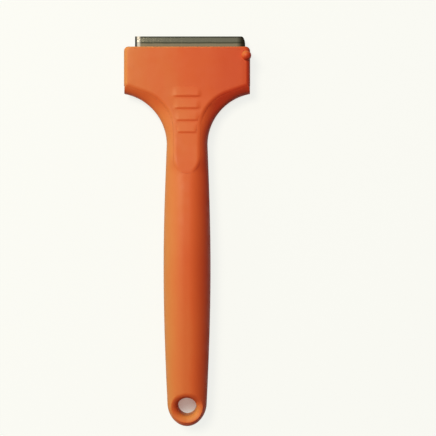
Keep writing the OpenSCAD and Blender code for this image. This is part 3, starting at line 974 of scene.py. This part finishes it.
# %% Blade
BLADE_Z = 3.85
HALF_T = 0.125
GRIND = 2.0
HONE = 0.25
HONE_HALF = 0.03
NOTCH_BACK = 8.7
NOTCH_R = 2.2
NOTCH_SIDES = 48
BLADE_PAST = 1
BLADE_COUNT = 24
SPINE_HALF_T = 0.6
FOLD_T = SPINE_HALF_T - HALF_T
blade_side = [
    (SPINE_S + FOLD_T, -HALF_T),
    (EDGE_S - GRIND, -HALF_T),
    (EDGE_S - HONE, -HONE_HALF),
    (EDGE_S, 0),
    (EDGE_S - HONE, HONE_HALF),
    (EDGE_S - GRIND, HALF_T),
    (SPINE_S + FOLD_T, HALF_T),
]
blade_places = spread(LEFT_END, RIGHT_END, BLADE_COUNT)
blade = across("razor_blade", [(s, BLADE_Z + z) for s, z in blade_side], blade_places)
cut_heights = (BLADE_Z - BLADE_PAST, BLADE_Z + BLADE_PAST)
notch = [(NOTCH_R, z) for z in cut_heights]
for x in (LEFT_END, RIGHT_END):
    combine(blade, turned("notch", x, EDGE_S - NOTCH_BACK, notch, NOTCH_SIDES), "DIFFERENCE")
print("blade with its notches has", len(blade.data.polygons), "faces")

# %% Worn corner of the blade
WORN_X = 1.3
WORN_S = 3.0
WORN_COUNT = 12
worn_corner = [
    (RIGHT_END + BLADE_PAST, EDGE_S - WORN_S),
    (RIGHT_END + BLADE_PAST, EDGE_S + BLADE_PAST),
    (RIGHT_END - WORN_X, EDGE_S + BLADE_PAST),
]
for a in spread(0, math.pi / 2, WORN_COUNT):
    worn_corner.append((RIGHT_END - WORN_X * (1 - math.sin(a)), EDGE_S - WORN_S * (1 - math.cos(a))))
corner_rings = [[(x, s, z) for x, s in worn_corner] for z in cut_heights]
combine(blade, skin("worn_corner", corner_rings), "DIFFERENCE")
shade(blade, sharp_degrees=1)
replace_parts(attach(blade, "blade"), "blade")

# %% Spine
SPINE_D = 5.6
LIP_S = SPINE_S + SPINE_D
LIP_ROUND = 0.15
FOLD_COUNT = 20
fold = [
    (SPINE_S + SPINE_HALF_T + SPINE_HALF_T * math.cos(a), SPINE_HALF_T * math.sin(a))
    for a in spread(math.pi / 2, 3 * math.pi / 2, FOLD_COUNT)
]
spine_side = fold + [
    (LIP_S - LIP_ROUND, -SPINE_HALF_T),
    (LIP_S, LIP_ROUND - SPINE_HALF_T),
    (LIP_S, -HALF_T),
    (SPINE_S + FOLD_T, -HALF_T),
    (SPINE_S + FOLD_T, HALF_T),
    (LIP_S, HALF_T),
    (LIP_S, SPINE_HALF_T - LIP_ROUND),
    (LIP_S - LIP_ROUND, SPINE_HALF_T),
]
spine = across("folded_spine", [(s, BLADE_Z + z) for s, z in spine_side], blade_places)
shade(spine, sharp_degrees=25)
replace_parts(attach(spine, "blade"), "blade_spine")

# %% [markdown]
# ## Colours and nodes
# Colours are written as the sRGB hex values that a paint program shows, and one function turns them into
# the linear light that shaders work in. A second small function adds a shader node, sets it and links it,
# so a material reads as a list of what it is made of. Noise seldom leaves the middle of its range, so the
# materials stretch that middle. A mix node that mixes colours has them at the sockets numbered here.

# %% Colour and node helpers
NOISE_MIDDLE = {"From Min": 0.3, "From Max": 0.7}
MIX_SHARE, MIX_FROM, MIX_TO = 0, 6, 7
MIX_OUT = 2


def linear(hex_colour):
    """Linear red, green, blue and alpha from an sRGB hex value."""
    shares = [int(hex_colour[i : i + 2], 16) / 255 for i in (1, 3, 5)]
    return tuple(c / 12.92 if c <= 0.04045 else ((c + 0.055) / 1.055) ** 2.4 for c in shares) + (1.0,)


def add_node(tree, kind, inputs, **settings):
    """Adds a node with its settings. An input is a value, or another node's output to link."""
    node = tree.nodes.new(kind)
    for name, value in settings.items():
        setattr(node, name, value)
    for name, value in inputs.items():
        if isinstance(value, bpy.types.NodeSocket):
            tree.links.new(value, node.inputs[name])
        else:
            node.inputs[name].default_value = value
    return node


def new_material(name):
    material = bpy.data.materials.new(name)
    material.use_nodes = True
    material.node_tree.nodes.clear()
    return material


def per(size_mm):
    """Scale of a pattern whose features are this size, for coordinates in metres."""
    return 1 / (size_mm * MM)


def dress(piece, material):
    piece.data.materials.clear()
    piece.data.materials.append(material)
    print(piece.name, "is", material.name)


print("middle grey in linear light:", round(linear("#808080")[0], 3))

# %% [markdown]
# ## Moulded polypropylene
# Orange polypropylene from a satin mould gives broad, soft highlights. The colour wanders a little where
# the melt flowed, handling burnishes the skin in patches, and the eroded surface of the mould leaves a fine
# grain. The real grain is about 0.1 mm, too fine to show at this distance, so it is drawn several times
# coarser and very shallow. Light and shade are also painted into the colour. It runs from a dark red orange
# with painted shade, on the sides that face away from the lamps, to a yellower tan with painted sheen, most
# at the left and on the sides that face the upper left. A painted map would need unwrapped pieces. Two dot
# products do without: one with the place, and one with the direction that the surface faces.

# %% Polypropylene
# Painted light falls by one over these distances, to the right and towards the edge
PAINTED_LIGHT_X_MM = 94
PAINTED_LIGHT_Y_MM = 900
PAINTED_LIGHT_BY_PLACE = (-per(PAINTED_LIGHT_X_MM), -per(PAINTED_LIGHT_Y_MM), 0.0)
# Painted light by facing: a surface that faces right loses this much, and one that faces the edge gains
# this much
PAINTED_LIGHT_BY_SIDE = (-0.40, 0.43, 0.0)
# The painted light over which the body colour takes over from the shaded one, and the sheen colour from
# that
PAINTED_LIGHT_STEPS = ((0.1, 0.5), (0.5, 1.0))
FLOW_MM = 9
FLOW_STRETCH = (1.0, 0.35, 1.0)
RUB_MM = 3.2
GRAIN_DEPTH = 0.05


def moulded_polypropylene(name, shaded_colour, body, sheen_colour, grain_mm, least_rough, most_rough):
    material = new_material(name)
    tree = material.node_tree
    coordinates = add_node(tree, "ShaderNodeTexCoord", {})
    place = coordinates.outputs["Object"]
    facing = coordinates.outputs["Normal"]
    by_place = add_node(tree, "ShaderNodeVectorMath", {0: place, 1: PAINTED_LIGHT_BY_PLACE}, operation="DOT_PRODUCT")
    by_side = add_node(tree, "ShaderNodeVectorMath", {0: facing, 1: PAINTED_LIGHT_BY_SIDE}, operation="DOT_PRODUCT")
    # Painted light and shade: lighter towards the left and where the surface faces the upper left, darker
    # where it faces away
    painted_light = add_node(
        tree, "ShaderNodeMath", {0: by_place.outputs["Value"], 1: by_side.outputs["Value"]}, operation="ADD"
    )
    flow_place = add_node(tree, "ShaderNodeMapping", {"Vector": place, "Scale": FLOW_STRETCH})
    flow = add_node(
        tree,
        "ShaderNodeTexNoise",
        {"Vector": flow_place.outputs[0], "Scale": per(FLOW_MM), "Detail": 3.0},
    )
    flow_share = add_node(
        tree,
        "ShaderNodeMapRange",
        {"Value": flow.outputs["Fac"], **NOISE_MIDDLE, "To Min": 0.5, "To Max": 0.62},
    )
    painted_light_and_flow = add_node(
        tree, "ShaderNodeMath", {0: painted_light.outputs[0], 1: flow_share.outputs[0]}, operation="ADD"
    )
    # From the colour with painted shade, through the body colour, to the one with painted sheen
    colour = linear(shaded_colour)
    for (low, high), paler in zip(PAINTED_LIGHT_STEPS, (body, sheen_colour)):
        share = add_node(
            tree, "ShaderNodeMapRange", {"Value": painted_light_and_flow.outputs[0], "From Min": low, "From Max": high}
        )
        mixed = add_node(
            tree,
            "ShaderNodeMix",
            {MIX_SHARE: share.outputs[0], MIX_FROM: colour, MIX_TO: linear(paler)},
            data_type="RGBA",
        )
        colour = mixed.outputs[MIX_OUT]
    rub = add_node(tree, "ShaderNodeTexNoise", {"Vector": place, "Scale": per(RUB_MM), "Detail": 4.0})
    rough = add_node(
        tree,
        "ShaderNodeMapRange",
        {"Value": rub.outputs["Fac"], **NOISE_MIDDLE, "To Min": most_rough, "To Max": least_rough},
    )
    grain = add_node(tree, "ShaderNodeTexNoise", {"Vector": place, "Scale": per(grain_mm), "Detail": 2.0})
    bump = add_node(
        tree,
        "ShaderNodeBump",
        {"Height": grain.outputs["Fac"], "Strength": 0.12, "Distance": GRAIN_DEPTH * MM},
    )
    plastic = add_node(
        tree,
        "ShaderNodeBsdfPrincipled",
        {
            "Base Color": colour,
            "Roughness": rough.outputs[0],
            "Normal": bump.outputs[0],
            "IOR": 1.49,
            "Specular IOR Level": 0.25,
        },
    )
    add_node(tree, "ShaderNodeOutputMaterial", {"Surface": plastic.outputs[0]})
    return material


# Each orange runs from painted shade through its body colour to painted sheen
satin_orange = moulded_polypropylene(
    "moulded_polypropylene_satin",
    shaded_colour="#cb3c1c",
    body="#de632e",
    sheen_colour="#df914d",
    grain_mm=0.5,
    least_rough=0.45,
    most_rough=0.58,
)
matt_orange = moulded_polypropylene(
    "moulded_polypropylene_matt",
    shaded_colour="#c23f1c",
    body="#cb5527",
    sheen_colour="#d06f36",
    grain_mm=0.4,
    least_rough=0.55,
    most_rough=0.65,
)
for piece, material in ((handle, satin_orange), (jaw, satin_orange), (plate, matt_orange)):
    dress(piece, material)

# %% [markdown]
# ## Steels
# The blade is carbon steel: its strip is cold rolled along the length, and its facets are ground across,
# which leaves fine lines at right angles to the edge. Its warm tint is partly a painted reflection of the
# orange jaw. The spine is bright rolled strip. The pin and the spring are drawn wire. Such lines break a
# highlight into streaks.
# Stretched noise draws them, 0.2 or 0.3 mm wide so that they just show, because real ones are finer.

# %% Rolled and drawn steel
LINE_DEPTH = 0.02
STAIN_MM = 6


def lined_steel(tree, place, colour, stretch, line_mm, least_rough, most_rough, relief):
    """Bare metal whose gloss and relief carry the lines that rolls, dies or a grindstone leave."""
    along = add_node(tree, "ShaderNodeMapping", {"Vector": place, "Scale": stretch})
    lines = add_node(
        tree, "ShaderNodeTexNoise", {"Vector": along.outputs[0], "Scale": per(line_mm), "Detail": 3.0}
    )
    gloss = add_node(
        tree,
        "ShaderNodeMapRange",
        {"Value": lines.outputs["Fac"], **NOISE_MIDDLE, "To Min": least_rough, "To Max": most_rough},
    )
    bump = add_node(
        tree,
        "ShaderNodeBump",
        {"Height": lines.outputs["Fac"], "Strength": relief, "Distance": LINE_DEPTH * MM},
    )
    metal = add_node(
        tree,
        "ShaderNodeBsdfPrincipled",
        {"Base Color": colour, "Metallic": 1.0, "Roughness": gloss.outputs[0], "Normal": bump.outputs[0]},
    )
    add_node(tree, "ShaderNodeOutputMaterial", {"Surface": metal.outputs[0]})


def rolled_steel(name, dark, light, **lines):
    material = new_material(name)
    tree = material.node_tree
    place = add_node(tree, "ShaderNodeTexCoord", {}).outputs["Object"]
    stain = add_node(tree, "ShaderNodeTexNoise", {"Vector": place, "Scale": per(STAIN_MM), "Detail": 4.0})
    share = add_node(
        tree, "ShaderNodeMapRange", {"Value": stain.outputs["Fac"], "From Min": 0.35, "From Max": 0.65}
    )
    colour = add_node(
        tree,
        "ShaderNodeMix",
        {MIX_SHARE: share.outputs[0], MIX_FROM: linear(dark), MIX_TO: linear(light)},
        data_type="RGBA",
    )
    lined_steel(tree, place, colour.outputs[MIX_OUT], relief=0.25, **lines)
    return material


spine_steel = rolled_steel(
    "rolled_bright_steel",
    dark="#a39d92",
    light="#bdb8ad",
    stretch=(0.02, 1.0, 1.0),
    line_mm=0.3,
    least_rough=0.22,
    most_rough=0.38,
)
wire_steel = rolled_steel(
    "drawn_spring_steel",
    dark="#8c8882",
    light="#a7a39b",
    stretch=(0.05, 1.0, 1.0),
    line_mm=0.2,
    least_rough=0.24,
    most_rough=0.4,
)
for piece, material in ((spine, spine_steel), (pin, wire_steel), (spring, wire_steel)):
    dress(piece, material)

# %% [markdown]
# The blade's colour changes across its width: a painted shade along the honed edge, the greyer ground
# facet, a darker line where the grind ends, and warmer strip behind it, whose tint is partly a painted
# reflection of the orange jaw. Along its length it is darker at the very left end, with a painted highlight
# just inside it, and a painted shade at the worn right corner. One colour ramp over the distance from the
# edge and one over the distance from the left end lay these down, because a ramp keeps each band at its own
# distance. A little noise makes the bands waver.

# %% Ground carbon steel
BAND_REACH = 6.0
BLADE_LEN = RIGHT_END - LEFT_END
WAVER = 0.25
WAVER_MM = 2.5


def fill_ramp(ramp, stops, reach):
    """Sets a ramp's stops from rows of distance in mm, colour and strength."""
    elements = ramp.color_ramp.elements
    while len(elements) < len(stops):
        elements.new(1.0)
    for element, (distance, colour, strength) in zip(elements, stops):
        element.position = distance / reach
        element.color = linear(colour)[:3] + (strength,)


def ground_steel(name, bands, end_marks):
    material = new_material(name)
    tree = material.node_tree
    place = add_node(tree, "ShaderNodeTexCoord", {}).outputs["Object"]
    where = add_node(tree, "ShaderNodeSeparateXYZ", {"Vector": place})
    waver = add_node(tree, "ShaderNodeTexNoise", {"Vector": place, "Scale": per(WAVER_MM), "Detail": 3.0})
    wavy_y = add_node(
        tree,
        "ShaderNodeMath",
        {0: waver.outputs["Fac"], 1: WAVER * MM, 2: where.outputs["Y"]},
        operation="MULTIPLY_ADD",
    )
    edge_y = (EDGE_S - ORIGIN_S + WAVER / 2) * MM
    from_edge = add_node(
        tree,
        "ShaderNodeMapRange",
        {"Value": wavy_y.outputs[0], "From Min": edge_y, "From Max": edge_y - BAND_REACH * MM},
    )
    from_left = add_node(
        tree,
        "ShaderNodeMapRange",
        {"Value": where.outputs["X"], "From Min": LEFT_END * MM, "From Max": RIGHT_END * MM},
    )
    band_ramp = add_node(tree, "ShaderNodeValToRGB", {"Fac": from_edge.outputs[0]})
    end_ramp = add_node(tree, "ShaderNodeValToRGB", {"Fac": from_left.outputs[0]})
    fill_ramp(band_ramp, bands, BAND_REACH)
    fill_ramp(end_ramp, end_marks, BLADE_LEN)
    colour = add_node(
        tree,
        "ShaderNodeMix",
        {
            MIX_SHARE: end_ramp.outputs["Alpha"],
            MIX_FROM: band_ramp.outputs["Color"],
            MIX_TO: end_ramp.outputs["Color"],
        },
        data_type="RGBA",
    )
    lined_steel(
        tree,
        place,
        colour.outputs[MIX_OUT],
        stretch=(1.0, 0.04, 1.0),
        line_mm=0.3,
        least_rough=0.06,
        most_rough=0.13,
        relief=0.12,
    )
    return material


print("bands reach", BAND_REACH, "mm back from the edge")

# %% Bands and marks of the blade
# Painted shade at the edge, a darker line where the grind ends, and strip tinted partly by a painted
# reflection
EDGE_PAINTED_SHADE = "#4e4d42"
GROUND = "#7a7765"
GRIND_END_DARK = "#5a5846"
STRIP_WITH_PAINTED_REFLECTION = "#95876b"
STRIP_BACK_WITH_PAINTED_REFLECTION = "#9d8f74"
# A darker left end, a painted highlight beside it and a painted shade at the worn right corner
LEFT_END_DARK = "#3a372f"
PAINTED_GLINT = "#fbeed8"
CORNER_PAINTED_SHADE = "#241d12"
blade_bands = [
    (0.0, EDGE_PAINTED_SHADE, 1.0),
    (0.35, EDGE_PAINTED_SHADE, 1.0),
    (0.6, GROUND, 1.0),
    (1.85, GROUND, 1.0),
    (2.05, GRIND_END_DARK, 1.0),
    (2.35, GRIND_END_DARK, 1.0),
    (2.6, STRIP_WITH_PAINTED_REFLECTION, 1.0),
    (BAND_REACH, STRIP_BACK_WITH_PAINTED_REFLECTION, 1.0),
]
blade_end_marks = [
    (0.0, LEFT_END_DARK, 1.0),
    (0.5, LEFT_END_DARK, 1.0),
    (0.9, PAINTED_GLINT, 0.85),
    (1.4, PAINTED_GLINT, 0.85),
    (2.0, PAINTED_GLINT, 0.0),
    (BLADE_LEN - 3.0, CORNER_PAINTED_SHADE, 0.0),
    (BLADE_LEN - 1.2, CORNER_PAINTED_SHADE, 0.9),
    (BLADE_LEN, CORNER_PAINTED_SHADE, 1.0),
]
dress(blade, ground_steel("ground_carbon_steel", blade_bands, blade_end_marks))

# %% [markdown]
# ## Floor, lights and camera
# The tool lies on a plain near-white floor. A white floor would throw so much light back on the tool's
# shaded side that its form would fade, so the floor is pale for the camera and for reflections, and darker
# for the soft light that it returns. Where the tool encloses it, inside the hang hole, the floor is shown
# with a painted shade, tinted pink brown, at places that an ambient occlusion node finds enclosed. One
# large lamp at the upper left gives the bright left flanks and the dark red right ones, with painted light
# in the plastic's colour adding to both. A small low one grazes the left side, and a faint sky fills the
# shade. The camera looks straight down through a long lens, so that the outline keeps its true proportions.

# %% Floor
FLOOR_HALF = 1500
FLOOR_Z = -0.05
half = FLOOR_HALF * MM
corners = [(i * half, j * half, FLOOR_Z * MM) for i, j in ((-1, -1), (1, -1), (1, 1), (-1, 1))]
floor_mesh = bpy.data.meshes.new("pale_floor")
floor_mesh.from_pydata(corners, [], [(0, 1, 2, 3)])
floor = bpy.data.objects.new("pale_floor", floor_mesh)
bpy.context.collection.objects.link(floor)
print("floor is", 2 * FLOOR_HALF, "mm wide")

# %% Matt paper of the floor
# Most of the floor's look is an even white, so that the shadow on it stays faint
EVEN_SHARE = 0.85
OPEN_REACH = 14
# The floor shows the painted shade where the share of open directions is below the first value, and pale
# above the second
ENCLOSED = {"From Min": 0.12, "From Max": 0.48}


def background_rays(tree):
    """One for rays from the camera, a mirror or glass, and zero for the soft light between surfaces."""
    rays = add_node(tree, "ShaderNodeLightPath", {}).outputs
    seen = add_node(
        tree, "ShaderNodeMath", {0: rays["Is Camera Ray"], 1: rays["Is Glossy Ray"]}, operation="MAXIMUM"
    )
    seen = add_node(
        tree, "ShaderNodeMath", {0: seen.outputs[0], 1: rays["Is Transmission Ray"]}, operation="MAXIMUM"
    )
    return seen.outputs[0]


paper = new_material("matt_paper")
tree = paper.node_tree
returned = add_node(tree, "ShaderNodeBsdfDiffuse", {"Color": linear("#7c7c7c")})
shown_lit = add_node(tree, "ShaderNodeBsdfDiffuse", {"Color": linear("#fbfcf7")})
openness = add_node(tree, "ShaderNodeAmbientOcclusion", {"Distance": OPEN_REACH * MM}, samples=16)
open_share = add_node(tree, "ShaderNodeMapRange", {"Value": openness.outputs["AO"], **ENCLOSED})
# Painted shade: pink brown in enclosed places such as the hang hole, the even near-white elsewhere
shown_colour = add_node(
    tree,
    "ShaderNodeMix",
    {MIX_SHARE: open_share.outputs[0], MIX_FROM: linear("#a67e70"), MIX_TO: linear("#fdfef9")},
    data_type="RGBA",
)
shown_even = add_node(
    tree, "ShaderNodeEmission", {"Color": shown_colour.outputs[MIX_OUT], "Strength": 1.0}
)
shown = add_node(
    tree, "ShaderNodeMixShader", {0: EVEN_SHARE, 1: shown_lit.outputs[0], 2: shown_even.outputs[0]}
)
both = add_node(
    tree, "ShaderNodeMixShader", {0: background_rays(tree), 1: returned.outputs[0], 2: shown.outputs[0]}
)
add_node(tree, "ShaderNodeOutputMaterial", {"Surface": both.outputs[0]})
dress(floor, paper)

# %% Sky
SKY_FILL = 0.12
SKY_SHOWN = 0.8
world = bpy.data.worlds.new("studio")
bpy.context.scene.world = world
world.use_nodes = True
tree = world.node_tree
tree.nodes.clear()
strength = add_node(
    tree, "ShaderNodeMapRange", {"Value": background_rays(tree), "To Min": SKY_FILL, "To Max": SKY_SHOWN}
)
sky = add_node(
    tree, "ShaderNodeBackground", {"Color": linear("#f7f8f6"), "Strength": strength.outputs[0]}
)
add_node(tree, "ShaderNodeOutputWorld", {"Surface": sky.outputs[0]})
print("sky fills the shade with strength", SKY_FILL)

# %% Lamps
WARM_WHITE = "#fff4e0"


def softbox(name, place, size, energy):
    """A square lamp that faces the tool, with its place and size in metres."""
    lamp = bpy.data.objects.new(name, bpy.data.lights.new(name, "AREA"))
    lamp.data.energy = energy
    lamp.data.size = size
    lamp.data.color = linear(WARM_WHITE)[:3]
    lamp.location = place
    lamp.rotation_euler = lamp.location.to_track_quat("Z", "Y").to_euler()
    bpy.context.collection.objects.link(lamp)
    print(name, "has", energy, "W")


softbox("key_softbox", place=(-0.405, 0.425, 1.053), size=0.445, energy=11.9)
softbox("side_softbox", place=(-0.45, 0.125, 0.18), size=0.2, energy=0.4)

# %% Camera
LENS = 100
SENSOR = 36
FRAME_MM = 150.5
FRAME_X = 10.65
FRAME_Y = 4.4
LOOK_Z = 5
CLIP_START = 0.01
camera = bpy.data.objects.new("camera", bpy.data.cameras.new("camera"))
camera.data.lens = LENS
camera.data.sensor_width = SENSOR
camera.data.clip_start = CLIP_START
camera.location = (FRAME_X * MM, FRAME_Y * MM, (LOOK_Z + FRAME_MM * LENS / SENSOR) * MM)
bpy.context.collection.objects.link(camera)
bpy.context.scene.camera = camera
bpy.context.scene.view_settings.view_transform = "Standard"
print("camera height in mm:", round(camera.location.z / MM, 1))
